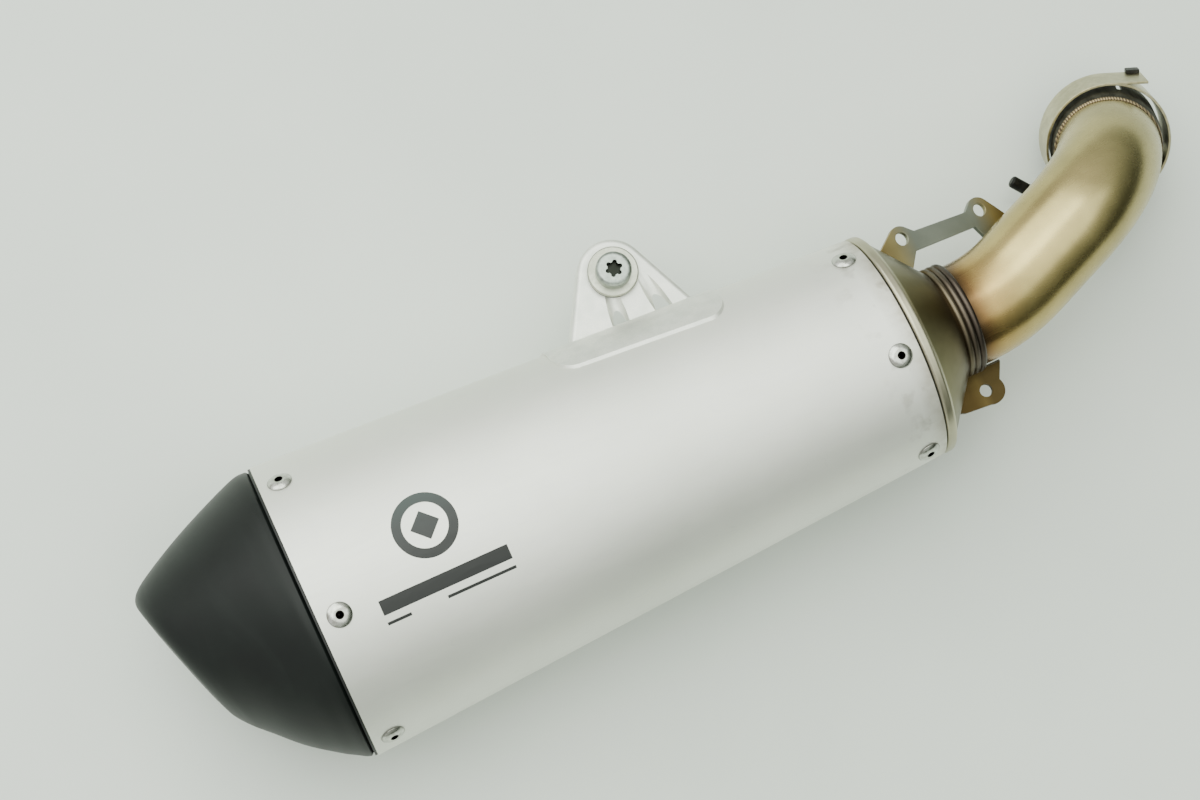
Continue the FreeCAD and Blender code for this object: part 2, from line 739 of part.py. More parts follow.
def flutes():
    """Two pressed grooves that stiffen the ear above its foot."""
    tools = []
    for along, lean in ((179.0, 6.0), (203.0, -10.0)):
        way = Vector(math.sin(math.radians(lean)), math.cos(math.radians(lean)), 0.24)
        start = Vector(along, 50, dim("ear_face") - 3.0)
        tools.append(Part.makeCylinder(4.2, 30, start, way))
    return Part.makeCompound(tools)


def foot_print():
    """Rounded rectangle that the foot covers, seen square to the can's side."""
    start, end, half = dim("foot_start"), dim("foot_end"), dim("foot_half_height")
    block = Part.makeBox(end - start, 60, 2 * half, Vector(start, 25, -half))
    return block.makeFillet(10.0, [edge for edge in block.Edges if edge.BoundBox.YLength > 50])


def can_blank(start, end, inset):
    """A solid of the can's own taper between two places, moved in by inset."""
    wires = []
    for along in (start, end):
        oval_edge = Part.Ellipse(Vector(), half_width(along) - inset, half_height(along) - inset)
        edge = oval_edge.toShape()
        edge.Placement = Placement(Vector(along, 0, 0), ACROSS_X)
        wires.append(Part.Wire([edge]))
    return Part.makeLoft(wires, True, False)


ear_shell = cut("ear_shell", ear_round, ear_hollow)
ear_shell = cut("ear_fluted", ear_shell, feature("flute_tools", flutes()))
doc.recompute()


def hanger_bracket_shape():
    """The ear and its foot in one, hollowed to the can's outside so that it sits on it."""
    start, end = dim("foot_start"), dim("foot_end")
    foot = can_blank(start - 9, end + 10, -dim("foot_sheet")).common(foot_print())
    raw = foot.fuse(ear_shell.Shape)
    hole = Part.makeCylinder(dim("grommet_radius"), 40, BOSS - Vector(0, 0, 20))
    return raw.cut(can_blank(start - 11, end + 12, 0)).cut(hole)


node("hanger_bracket", feature("hanger_bracket", hanger_bracket_shape()))

# ---------------------------------------------------------------- hanger fittings
TOP = dim("ear_face")
UNDER = TOP - dim("ear_sheet")
BUSH = dim("grommet_radius")
SLEEVE = dim("hanger_sleeve_radius")
AT_BOSS = Placement(BOSS, Rotation())
node("hanger_grommet", turned_body("hanger_grommet", [
    (SLEEVE, UNDER - 4.0), (BUSH + 2.4, UNDER - 4.0), (BUSH + 2.8, UNDER - 3.0),
    (BUSH + 2.8, UNDER), (BUSH, UNDER), (BUSH, TOP), (BUSH + 1.6, TOP),
    (BUSH + 1.6, TOP + 1.6), (BUSH + 1.2, TOP + 2.0), (SLEEVE, TOP + 2.0)], AT_BOSS))
SHOULDER = dim("hanger_shoulder_radius")
SLEEVE_BORE = SHOULDER + dim("running_gap")
SEAT = dim("seat_level")
SLEEVE_FLANGE = dim("hanger_flange_radius")
WASHER = 10.5
node("hanger_sleeve", turned_body("hanger_sleeve", [
    (SLEEVE_BORE, SEAT + 1.6), (SLEEVE, SEAT + 1.6), (SLEEVE, TOP + 2.0),
    (SLEEVE_FLANGE, TOP + 2.0), (SLEEVE_FLANGE, TOP + 3.2), (SLEEVE_FLANGE - 0.5, TOP + 3.7),
    (SLEEVE_BORE, TOP + 3.7)], AT_BOSS))
node("hanger_rear_washer", turned_body("hanger_rear_washer", [
    (SLEEVE_BORE, SEAT), (WASHER, SEAT), (WASHER, SEAT + 1.58), (SLEEVE_BORE, SEAT + 1.58)],
    AT_BOSS))


def hanger_bolt_shape():
    """M8 shoulder bolt with a six-lobed recess, its thread end free behind the seat."""
    face = TOP + 3.72
    flange = dim("hanger_head_radius")
    head = turned([(0, face), (flange, face), (flange, face + 4.2), (flange - 0.4, face + 5.1),
                   (flange - 1.3, face + 5.8), (flange - 2.2, face + 6.0), (0, face + 6.0)])
    end = SEAT - dim("hanger_bolt_reach")
    thread = dim("hanger_thread_radius")
    shank = turned([(0, end), (thread - 0.9, end), (thread, end + 0.9), (thread, SEAT),
                    (SHOULDER, SEAT), (SHOULDER, face), (0, face)])
    lobes = [Part.makeCylinder(2.9, 3.6, Vector(0, 0, face + 2.6))]
    for count in range(6):
        angle = math.radians(60 * count)
        lobes.append(Part.makeCylinder(1.0, 3.6, Vector(3.0 * math.cos(angle),
                                                        3.0 * math.sin(angle), face + 2.6)))
    recess = lobes[0].multiFuse(lobes[1:])
    return shank.fuse(head).cut(recess).removeSplitter()


node("hanger_bolt", feature("hanger_bolt", in_place(hanger_bolt_shape(), AT_BOSS)))

# ---------------------------------------------------------------- heat shield bracket and tab
LEAN = dim("bracket_lean_deg")
REAR_HOLE = Vector(318.7, 45.0, -4.0)
BRACKET_PLACE = Placement(REAR_HOLE, Rotation(Vector(0, 1, 0), LEAN))


def strip_outline():
    """Two round lobes joined by a bar, with a foot to the cap and a foot to the pipe."""
    lobe = 6.4
    pitch = dim("bracket_pitch")
    rear = Vector(0, 0, 0)
    front = Vector(pitch, -0.4, 0)
    foot_low = Vector(-3, -17, 0)
    foot_high = Vector(-15, -3, 0)
    rear_in = tangent(rear, lobe, foot_high, -1)
    bar_top = [Vector(8.0, 1.6, 0), Vector(pitch - 8.0, 1.0, 0)]
    rear_out = tangent(rear, lobe, bar_top[0], 1)
    front_in = tangent(front, lobe, bar_top[1], -1)
    pipe_high = Vector(pitch + 15, -10.5, 0)
    front_out = tangent(front, lobe, pipe_high, 1)
    pipe_low = Vector(pitch - 1, -20, 0)
    bar_low = [Vector(pitch - 6.5, -7.2, 0), Vector(4.5, -7.6, 0)]
    line = Part.LineSegment
    return [line(foot_low, foot_high), line(foot_high, rear_in),
            arc_over(rear, lobe, rear_in, rear_out), line(rear_out, bar_top[0]),
            line(bar_top[0], bar_top[1]), line(bar_top[1], front_in),
            arc_over(front, lobe, front_in, front_out), line(front_out, pipe_high),
            line(pipe_high, pipe_low), line(pipe_low, bar_low[0]),
            line(bar_low[0], bar_low[1]), line(bar_low[1], foot_low)]


bracket_holes = [circle(Vector(0, 0, 0), dim("bracket_hole_radius")),
                 circle(Vector(dim("bracket_pitch"), -0.4, 0), dim("bracket_hole_radius"))]
strip = padded_body("shield_strip", [strip_outline()] + bracket_holes, "bracket_sheet",
                    BRACKET_PLACE, downwards=True)
solid_cap = fuse("solid_cap", cone("cone_solid", "0"), can_loft(
    "lip_solid", "can_length - 2", "can_length + lip_width", "-0.2"))
strip_cut = cut("shield_strip_on_cap", strip, solid_cap)
node("shield_bracket", cut("shield_bracket", strip_cut, pipe_solid))


def tab_outline():
    corner = Vector(327.0, -36.3, 0)
    points = [Vector(303, -19, 0), Vector(303, -38, 0), Vector(311, -41.2, 0)]
    low = Vector(324.0, -42.4, 0)
    high = Vector(332.4, -33.2, 0)
    top = [Vector(337.5, -23.5, 0), Vector(337.0, -15, 0)]
    line = Part.LineSegment
    bow = Part.Arc(low, corner + Vector(0.75, -0.66, 0) * 6.2, high)
    return [line(points[0], points[1]), line(points[1], points[2]), line(points[2], low), bow,
            line(high, top[0]), line(top[0], top[1]), line(top[1], points[0])]


tab = padded_body("tab", [tab_outline(), circle(Vector(324.2, -35.4, 0), dim("tab_hole_radius"))],
                  "bracket_sheet", level(-12.0))
tab_cut = cut("tab_on_cap", tab, solid_cap)
collar_solid = cylinder("collar_solid", "collar_radius + collar_rib", "40",
                        Vector(dim("can_length") + 10, 0, 0))
tab_cut = cut("tab_on_collar", tab_cut, collar_solid)
node("lower_tab", cut("lower_tab", tab_cut, pipe_solid))

# ---------------------------------------------------------------- place, check and write
for name, item in NODES.items():
    if item.TypeId in ("Part::Feature", "PartDesign::Body"):
        item.Placement = TO_ORIGIN * item.Placement
    else:
        item.Placement = TO_ORIGIN
doc.recompute()

failed = [item.Name for item in doc.Objects if {"Invalid", "Error"} & set(item.State)]
for name, item in NODES.items():
    if item.Shape.isNull() or not item.Shape.isValid() or not item.Shape.Solids:
        failed.append(name)
if failed:
    raise SystemExit("these failed: " + ", ".join(failed))
for name, item in NODES.items():
    item.Shape.exportStep("parts/%s.step" % name)
print("%d nodes written" % len(NODES))
print("inlet mouth at", TO_ORIGIN.multVec(INLET_MOUTH), "facing", INLET_WAY)
print("clamp bolt through", (TO_ORIGIN * TO_CLAMP).multVec(BOLT_AXIS), "along",
      TO_CLAMP.Rotation.multVec(ALONG_BOLT))
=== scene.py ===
from math import pi, radians

import bpy
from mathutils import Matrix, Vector


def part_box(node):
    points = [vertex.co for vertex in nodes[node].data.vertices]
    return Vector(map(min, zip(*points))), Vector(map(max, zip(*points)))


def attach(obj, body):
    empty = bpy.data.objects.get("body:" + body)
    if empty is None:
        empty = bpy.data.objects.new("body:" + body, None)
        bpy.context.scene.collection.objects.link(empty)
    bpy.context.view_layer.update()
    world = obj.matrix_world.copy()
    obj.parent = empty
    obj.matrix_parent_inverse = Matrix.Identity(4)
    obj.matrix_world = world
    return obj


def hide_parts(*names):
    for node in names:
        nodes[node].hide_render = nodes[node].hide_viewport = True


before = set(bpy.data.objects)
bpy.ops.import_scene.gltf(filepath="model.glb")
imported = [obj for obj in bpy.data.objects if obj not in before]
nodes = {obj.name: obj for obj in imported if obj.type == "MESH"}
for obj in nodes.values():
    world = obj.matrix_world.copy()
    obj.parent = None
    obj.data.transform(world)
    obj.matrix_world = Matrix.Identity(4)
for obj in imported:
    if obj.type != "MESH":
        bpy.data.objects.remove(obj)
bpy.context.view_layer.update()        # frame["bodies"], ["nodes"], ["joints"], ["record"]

# A tapered oval muffler with a black end cap, lying on a pale table. Everything is in metres: X
# runs along the can from the tail to the inlet, Y to the hanger and Z out of the can's face.
scene = bpy.context.scene
mm = 0.001

# ---------------------------------------------------------------- table, light and camera
# A plain pale painted board under the can's tail and the pipe's clamp. A wide soft window and a
# softer ceiling light stand overhead, in a room that darkens to the lower right: the polished
# pipe mirrors that as its dark band, and the rougher can only as a gentle fall of tone.


def linear(hex_colour):
    """An sRGB hex colour as the linear RGBA that a shader takes."""
    parts = [int(hex_colour[i:i + 2], 16) / 255 for i in (1, 3, 5)]
    return [p / 12.92 if p <= 0.04045 else ((p + 0.055) / 1.055) ** 2.4 for p in parts] + [1.0]


def put(tree, kind, stops=None, **settings):
    """Adds a node. Each setting is a property, a socket's value, or a socket to link from."""
    made = tree.nodes.new("ShaderNode" + kind)
    for name, value in settings.items():
        if hasattr(made, name):
            setattr(made, name, value)
            continue
        socket = made.inputs[int(name[1:]) if name[1:].isdigit() else name.replace("_", " ")]
        if isinstance(value, bpy.types.NodeSocket):
            tree.links.new(value, socket)
        else:
            socket.default_value = value
    if stops:
        ramp = made.color_ramp.elements
        while len(ramp) < len(stops):
            ramp.new(0.5)
        for element, (place, colour) in zip(ramp, stops):
            element.position = place
            element.color = linear(colour)
    return made.outputs[0]


def finish(name, **constants):
    """A new material: its tree, its shader with the constants set, and object coordinates."""
    material = bpy.data.materials.new(name)
    material.use_nodes = True
    tree = material.node_tree
    shader = tree.nodes["Principled BSDF"]
    for socket, value in constants.items():
        shader.inputs[socket.replace("_", " ")].default_value = value
    return material, tree, shader, tree.nodes.new("ShaderNodeTexCoord").outputs["Object"]


def join(tree, shader, **links):
    """Links sockets into the shader."""
    for socket, source in links.items():
        tree.links.new(source, shader.inputs[socket.replace("_", " ")])


tail_rest = Vector((-0.177, -0.084, -0.0576))
clamp_rest = Vector((0.228, -0.05, -0.0650))
# the board leans a little, because the clamp hangs lower than the can's tail
slope = (clamp_rest.z - tail_rest.z) / (clamp_rest.x - tail_rest.x)
bpy.ops.object.select_all(action="DESELECT")
bpy.ops.mesh.primitive_grid_add(x_subdivisions=2, y_subdivisions=2, size=6,
                                location=(0, 0, tail_rest.z - slope * tail_rest.x),
                                rotation=(0, -slope, 0))
table = bpy.context.active_object
table.name = "table_top"
bpy.ops.object.transform_apply()
painted_board, tree, shader, place = finish("painted_board", Roughness=0.5)
# the paint is uneven in patches of about 140 mm, by a shade that is barely seen
mottle = put(tree, "TexNoise", Vector=place, Scale=7.0, Detail=6.0)
join(tree, shader, Base_Color=put(tree, "ValToRGB", Fac=mottle,
                                  stops=[(0.3, "#D3DAD2"), (0.7, "#DBE1D9")]))
table.data.materials.append(painted_board)

room = bpy.data.worlds.new("room")
scene.world = room
room.use_nodes = True
tree = room.node_tree
brightest_way = (-0.55, 0.35, 0.76)
put(tree, "VectorMath", operation="DOT_PRODUCT", _1=brightest_way,
    _0=tree.nodes.new("ShaderNodeTexCoord").outputs["Generated"])
level = put(tree, "MapRange", Value=tree.nodes[-1].outputs["Value"], From_Min=-1.0,
            From_Max=1.0)
glow = put(tree, "ValToRGB", Fac=level,
           stops=[(0.1, "#171B15"), (0.28, "#3C4239"), (0.45, "#A2AAA0"), (0.62, "#E2E8DF"),
                  (0.85, "#FFFFFB")])
tree.links.new(glow, tree.nodes["Background"].inputs["Color"])
tree.nodes["Background"].inputs["Strength"].default_value = 1.0

# name, place, side in metres, watts; both point at the middle of the can
for name, spot, size, power in (("window", (-0.55, 0.9, 1.7), 2.4, 60.0),
                                ("ceiling", (0.3, -0.3, 2.1), 2.4, 29.0)):
    light = bpy.data.lights.new(name, "AREA")
    light.size = size
    light.energy = power
    light.color = linear("#F7FFF6")[:3]
    lamp = bpy.data.objects.new(name, light)
    lamp.location = spot
    aim = Vector((0, -0.08, 0)) - Vector(spot)
    lamp.rotation_euler = aim.to_track_quat("-Z", "Y").to_euler()
    scene.collection.objects.link(lamp)

camera = bpy.data.objects.new("camera", bpy.data.cameras.new("camera"))
camera.location = (-0.18063, -0.19877, 1.11729)
camera.rotation_euler = (0.17622, -0.06631, -0.43814)
camera.data.sensor_width = 36
camera.data.lens = 74.5
camera.data.clip_end = 20
scene.collection.objects.link(camera)
scene.camera = camera

# ---------------------------------------------------------------- sleeve
# The can: 1.5 mm aluminium sheet rolled to a tapered oval and brushed along its length. The
# grain gives broad soft highlights; heat and handling have left faint brown and grey marks.
sleeve_low, sleeve_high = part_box("sleeve")
axis_y = (sleeve_low.y + sleeve_high.y) / 2
axis_z = (sleeve_low.z + sleeve_high.z) / 2
tail_wide = (sleeve_high.y - sleeve_low.y) / 2
tail_tall = (sleeve_high.z - sleeve_low.z) / 2
front_wide = 54.3 * mm
front_tall = 46.3 * mm
brushed_aluminium, tree, shader, place = finish("brushed_aluminium", Metallic=1.0)
cloud = put(tree, "TexNoise", Vector=place, Scale=14.0, Detail=3.0)
grey = put(tree, "ValToRGB", Fac=cloud, stops=[(0.3, "#E6E7DF"), (0.7, "#F0F0E9")])
# brushed grain about 1 mm wide and 30 mm long, coarser than a real one so that it shows
along = put(tree, "Mapping", Vector=place, Scale=(30, 900, 900))
grain = put(tree, "TexNoise", Vector=along, Scale=1.0, Detail=4.0, Roughness=0.6)
# heat stain at the front edge: brown within 9 mm of it, broken up by a 6 mm pattern
from_edge = put(tree, "SeparateXYZ", Vector=place)
blotch = put(tree, "TexNoise", Vector=place, Scale=170.0, Detail=3.0)
edge_band = put(tree, "MapRange", Value=from_edge, From_Min=sleeve_high.x - 9 * mm,
                From_Max=sleeve_high.x, To_Min=0.0, To_Max=0.8)
stain = put(tree, "Math", operation="MULTIPLY", _0=edge_band, _1=blotch)
browned = put(tree, "MixRGB", Fac=stain, Color1=grey, Color2=linear("#8A7A56"))
# darker spots about 10 mm across further back, where exhaust has leaked past the rivets
leak_band = put(tree, "MapRange", Value=from_edge, From_Min=sleeve_high.x - 26 * mm,
                From_Max=sleeve_high.x - 6 * mm, To_Min=0.0, To_Max=0.8)
leak = put(tree, "ValToRGB", Fac=put(tree, "TexNoise", Vector=place, Scale=95.0, Detail=5.0),
           stops=[(0.56, "#000000"), (0.68, "#B4B4B4")])
leaked = put(tree, "Math", operation="MULTIPLY", _0=leak_band, _1=leak)
stained = put(tree, "MixRGB", Fac=leaked, Color1=browned, Color2=linear("#6E5D3C"))
# thin grey handling scratches, 20 to 45 mm apart
bent = put(tree, "Mapping", Vector=place, Scale=(22, 55, 55), Rotation=(0, 0, 0.5))
hair = put(tree, "TexNoise", Vector=bent, Scale=1.0, Detail=1.0, Distortion=1.6)
hair_line = put(tree, "ValToRGB", Fac=hair, stops=[(0.496, "#000000"), (0.5, "#3A3A3A"),
                                                   (0.504, "#000000")])
scratched = put(tree, "MixRGB", Fac=hair_line, Color1=stained, Color2=linear("#8F938D"))
rough = put(tree, "MapRange", Value=grain, To_Min=0.5, To_Max=0.64)
bump = put(tree, "Bump", Height=grain, Strength=0.12, Distance=0.02 * mm)
join(tree, shader, Base_Color=scratched, Roughness=rough, Normal=bump)


def dress(material, *names):
    """Gives CAD nodes their finish."""
    for name in names:
        nodes[name].data.materials.clear()
        nodes[name].data.materials.append(material)


dress(brushed_aluminium, "sleeve")

# ---------------------------------------------------------------- printed mark
# A plain generic mark in black ink, printed on the sleeve: a ring round a diamond, a broad bar
# and two thin rules. The ink is a 0.03 mm film that follows the can, greyer towards the hanger
# side.


def printed(piece, name):
    """Lays a flat mesh onto the sleeve from above, as a film of ink."""
    piece.name = name
    bpy.ops.object.mode_set(mode="OBJECT")
    bpy.ops.object.transform_apply()
    wrap = piece.modifiers.new("laid", "SHRINKWRAP")
    wrap.target = nodes["sleeve"]
    wrap.wrap_method = "PROJECT"
    wrap.use_project_x = False
    wrap.use_project_y = False
    wrap.use_project_z = True
    wrap.use_negative_direction = True
    wrap.use_positive_direction = False
    wrap.offset = 0.05 * mm
    bpy.ops.object.modifier_apply(modifier="laid")
    film = piece.modifiers.new("film", "SOLIDIFY")
    film.thickness = 0.03 * mm
    bpy.ops.object.modifier_apply(modifier="film")
    bpy.ops.object.mode_set(mode="EDIT")
    bpy.ops.mesh.select_all(action="SELECT")
    bpy.ops.mesh.normals_make_consistent(inside=False)
    bpy.ops.object.mode_set(mode="OBJECT")
    piece.data.materials.append(black_ink)
    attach(piece, "muffler")


black_ink, tree, shader, place = finish("black_ink", Roughness=0.42)
put(tree, "SeparateXYZ", Vector=place)
fade = put(tree, "MapRange", Value=tree.nodes[-1].outputs["Y"], From_Min=-85 * mm,
           From_Max=-62 * mm)
join(tree, shader, Base_Color=put(tree, "ValToRGB", Fac=fade,
                                  stops=[(0.0, "#0B0E0D"), (0.5, "#141A19"), (1.0, "#2E3A37")]))
mark_x = sleeve_low.x + 58 * mm
mark_y = axis_y + 8 * mm
above = 90 * mm
ring_radius = 14.5 * mm
bpy.ops.object.select_all(action="DESELECT")
bpy.ops.mesh.primitive_circle_add(vertices=96, radius=ring_radius,
                                  location=(mark_x, mark_y, above))
bpy.ops.object.mode_set(mode="EDIT")
# each ring is this share of the one before it, so that the flat band can follow the can
for share in (0.93, 0.92, 0.91, 0.9):
    bpy.ops.mesh.extrude_edges_move()
    bpy.ops.transform.resize(value=(share, share, 1), center_override=(mark_x, mark_y, above))
printed(bpy.context.active_object, "mark_ring")
# name, place from the ring's centre, length and width in mm, turn
bars = (("mark_diamond", 0, 0, 9.5, 9.5, pi / 4),
        ("mark_bar", -1.5, -25.0, 60.0, 6.5, 0),
        ("mark_rule_long", 12.5, -32.0, 32.0, 1.3, 0),
        ("mark_rule_short", -26.0, -32.0, 11.0, 1.3, 0))
for name, dx, dy, length, width, turn in bars:
    bpy.ops.object.select_all(action="DESELECT")
    bpy.ops.mesh.primitive_grid_add(x_subdivisions=40, y_subdivisions=12, size=1,
                                    location=(mark_x + dx * mm, mark_y + dy * mm, above),
                                    rotation=(0, 0, turn))
    bpy.context.active_object.scale = (length * mm, width * mm, 1)
    printed(bpy.context.active_object, name)

# ---------------------------------------------------------------- rivets
# Twelve stainless blind rivets, six round each end of the can, pulled through it into the caps.
# Each bright domed head has a hollow where its mandrel broke off, with painted shade in it and
# round the head's rim.
rivet_steel, tree, shader, place = finish("rivet_steel", Metallic=1.0)
# handling marks about 2 mm across
speck = put(tree, "TexNoise", Vector=place, Scale=420.0, Detail=3.0)
dome = put(tree, "ValToRGB", Fac=speck, stops=[(0.35, "#AFAFA6"), (0.6, "#CFD0C9")])
off_axis = put(tree, "MapRange", Value=put(tree, "Attribute", attribute_name="from_axis"),
               From_Max=6 * mm)
# painted shade: black within 1.8 mm of the axis, in the hollow, and darker from 5 mm out, at the
# rim where the head meets the can
hollow_and_rim_shade = put(tree, "ValToRGB", Fac=off_axis,
            stops=[(0.3, "#FFFFFF"), (0.34, "#000000"), (0.84, "#000000"), (0.93, "#B0B0B0")])
join(tree, shader,
     Base_Color=put(tree, "MixRGB", Fac=hollow_and_rim_shade, Color1=dome, Color2=linear("#14120E")),
     Roughness=put(tree, "MapRange", Value=speck, To_Min=0.16, To_Max=0.34))


def ease(piece, width, segments, angle):
    """Eases the sharp edges of a piece and shades it smooth between them."""
    bpy.ops.object.select_all(action="DESELECT")
    piece.select_set(True)
    bpy.context.view_layer.objects.active = piece
    edge = piece.modifiers.new("eased", "BEVEL")
    edge.width = width
    edge.segments = segments
    edge.limit_method = "ANGLE"
    edge.angle_limit = radians(angle)
    bpy.ops.object.modifier_apply(modifier="eased")
    bpy.ops.object.shade_smooth_by_angle(angle=radians(angle))


def eased_copy(name, body, material, width):
    """A copy of a CAD node with its sharp edges eased, which stands for the node."""
    piece = bpy.data.objects.new(name + "_eased", nodes[name].data.copy())
    scene.collection.objects.link(piece)
    bpy.ops.object.select_all(action="DESELECT")
    piece.select_set(True)
    bpy.context.view_layer.objects.active = piece
    bpy.ops.object.mode_set(mode="EDIT")
    bpy.ops.mesh.select_all(action="SELECT")
    bpy.ops.mesh.remove_doubles(threshold=0.002 * mm)
    bpy.ops.mesh.dissolve_limited(angle_limit=radians(0.5))
    bpy.ops.object.mode_set(mode="OBJECT")
    ease(piece, width, segments=2, angle=38)
    flat = piece.modifiers.new("flat_faces", "WEIGHTED_NORMAL")
    flat.keep_sharp = True
    flat.weight = 100
    bpy.ops.object.modifier_apply(modifier="flat_faces")
    piece.data.materials.clear()
    piece.data.materials.append(material)
    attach(piece, body)
    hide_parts(name)
    return piece


def mark_hollows(piece, wide, tall):
    """Stores how far each vertex is from its own rivet's axis; gives the rivets' seats."""
    mesh = piece.data
    owner = list(range(len(mesh.vertices)))

    def root(index):
        while owner[index] != index:
            owner[index] = owner[owner[index]]
            index = owner[index]
        return index

    for edge in mesh.edges:
        owner[root(edge.vertices[0])] = root(edge.vertices[1])
    rivets = {}
    for vertex in mesh.vertices:
        rivets.setdefault(root(vertex.index), []).append(vertex)
    off = mesh.attributes.new("from_axis", "FLOAT", "POINT")
    taper = 0.055
    seats = []
    for vertices in rivets.values():
        middle = sum((vertex.co for vertex in vertices), Vector()) / len(vertices)
        out = Vector((taper, (middle.y - axis_y) / wide ** 2 * tall,
                      (middle.z - axis_z) / tall))
        out.normalize()
        for vertex in vertices:
            off.data[vertex.index].value = (vertex.co - middle).cross(out).length
        seats.append((middle, out))
    return seats


rear = eased_copy("rear_rivets", "muffler", rivet_steel, 0.05 * mm)
rear_seats = mark_hollows(rear, tail_wide, tail_tall)
front = eased_copy("front_rivets", "muffler", rivet_steel, 0.05 * mm)
mark_hollows(front, front_wide, front_tall)

# ---------------------------------------------------------------- end cap
# Spun aluminium cone with a leaning face, coated satin black. It has a softly rounded tip and
# shoulder, slips inside the sleeve behind a thin black seal, and carries the tail tube.


def hoops(name, rings, thickness):
    """A walled skin through ovals round the can's axis: (x, y, half width, half height, lean)."""
    bpy.ops.object.select_all(action="DESELECT")
    bpy.ops.mesh.primitive_circle_add(vertices=160, radius=1, rotation=(0, pi / 2, 0))
    piece = bpy.context.active_object
    piece.name = name
    bpy.ops.object.transform_apply()
    bpy.ops.object.mode_set(mode="EDIT")
    bpy.ops.transform.translate(value=(0, 0, axis_z))
    last = (0, 0, 1, 1, 0)
    for ring in rings:
        if ring is not rings[0]:
            bpy.ops.mesh.extrude_edges_move()
        middle = (last[0], last[1], axis_z)
        bpy.ops.transform.rotate(value=last[4], orient_axis="Z", center_override=middle)
        bpy.ops.transform.resize(value=(1, ring[2] / last[2], ring[3] / last[3]),
                                 center_override=middle)
        bpy.ops.transform.translate(value=(ring[0] - last[0], ring[1] - last[1], 0))
        bpy.ops.transform.rotate(value=-ring[4], orient_axis="Z",
                                 center_override=(ring[0], ring[1], axis_z))
        last = ring
    bpy.ops.mesh.select_all(action="SELECT")
    bpy.ops.mesh.normals_make_consistent(inside=False)
    bpy.ops.object.mode_set(mode="OBJECT")
    wall = piece.modifiers.new("wall", "SOLIDIFY")
    wall.thickness = thickness
    wall.offset = -1
    bpy.ops.object.modifier_apply(modifier="wall")
    return piece


def drill(piece, seats, radius):
    """Drills the rivets' holes through a piece."""
    pins = []
    for middle, out in seats:
        bpy.ops.mesh.primitive_cylinder_add(vertices=24, radius=radius, depth=12 * mm,
                                            location=middle,
                                            rotation=out.to_track_quat("Z", "Y").to_euler())
        pins.append(bpy.context.active_object)
    for pin in pins:
        pin.select_set(True)
    bpy.ops.object.join()
    cutter = bpy.context.active_object
    bpy.ops.object.select_all(action="DESELECT")
    piece.select_set(True)
    bpy.context.view_layer.objects.active = piece
    holes = piece.modifiers.new("holes", "BOOLEAN")
    holes.operation = "DIFFERENCE"
    holes.object = cutter
    bpy.ops.object.modifier_apply(modifier="holes")
    bpy.data.objects.remove(cutter)


def smooth_rings(rows, between):
    """More rings between the given ones, on a Catmull-Rom curve through them."""
    rings = []
    for count in range(len(rows) - 1):
        before = rows[max(count - 1, 0)]
        start, end = rows[count], rows[count + 1]
        after = rows[min(count + 2, len(rows) - 1)]
        for step in range(between):
            t = step / between
            rings.append(tuple(0.5 * (2 * b + (c - a) * t + (2 * a - 5 * b + 4 * c - d) * t ** 2
                                      + (3 * b - a - 3 * c + d) * t ** 3)
                               for a, b, c, d in zip(before, start, end, after)))
    return rings + [rows[-1]]


# mm from the sleeve's end and axis: x, y, half width, half height, and the lean in degrees
cap_rows = [(-2.6, 0.0, 69.2, 60.2, 0.0), (-5.6, 0.3, 69.0, 60.0, 1.0),
            (-10.0, 0.6, 67.2, 58.5, 1.8), (-18.2, 1.0, 63.2, 55.2, 3.0),
            (-34.2, 1.9, 54.3, 47.4, 6.5), (-50.2, 3.2, 43.5, 38.2, 12.5),
            (-55.6, 3.6, 39.4, 34.7, 15.0), (-58.6, 3.7, 36.2, 31.9, 16.6),
            (-60.4, 3.6, 32.6, 28.9, 17.4), (-60.9, 3.4, 28.6, 25.8, 17.5)]
cap_skin = smooth_rings(cap_rows, 5)
face_x, face_lean = cap_rows[-1][0], cap_rows[-1][4]
mouth = [(face_x, 2.0, 21.8, 20.8, face_lean), (face_x + 3.0, 2.9, 21.8, 20.8, face_lean)]
shoulder = [(20.8, 0.0, 66.0, 57.0, 0.0), (-0.6, 0.0, 66.9, 58.1, 0.0),
            (-1.3, 0.0, 68.0, 59.0, 0.0)]
cap = hoops("cap_shell", [
    (sleeve_low.x + x * mm, axis_y + y * mm, wide * mm, tall * mm, radians(turn))
    for x, y, wide, tall, turn in shoulder + cap_skin + mouth], 1.6 * mm)
ease(cap, 0.8 * mm, segments=4, angle=40)
rivet_hole_radius = 2.45 * mm
drill(cap, rear_seats, rivet_hole_radius)
black_coating, tree, shader, place = finish("black_coating", Specular_IOR_Level=0.24)
haze = put(tree, "TexNoise", Vector=place, Scale=22.0, Detail=4.0)
charcoal = put(tree, "ValToRGB", Fac=haze, stops=[(0.3, "#080B0A"), (0.7, "#111614")])
# orange peel about 1 mm across, and faint rubbed patches about 20 by 70 mm
peel = put(tree, "TexNoise", Vector=place, Scale=900.0, Detail=2.0)
rub = put(tree, "Mapping", Vector=place, Scale=(60, 14, 14))
rubbed = put(tree, "TexNoise", Vector=rub, Scale=1.0, Detail=5.0, Distortion=0.8)
worn = put(tree, "ValToRGB", Fac=rubbed, stops=[(0.56, "#000000"), (0.74, "#2C2C2C")])
join(tree, shader,
     Base_Color=put(tree, "MixRGB", Fac=worn, Color1=charcoal, Color2=linear("#59615D")),
     Roughness=put(tree, "MapRange", Value=rubbed, To_Min=0.36, To_Max=0.52),
     Normal=put(tree, "Bump", Height=peel, Strength=0.10, Distance=0.05 * mm))
cap.data.materials.append(black_coating)
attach(cap, "muffler")
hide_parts("end_cap")

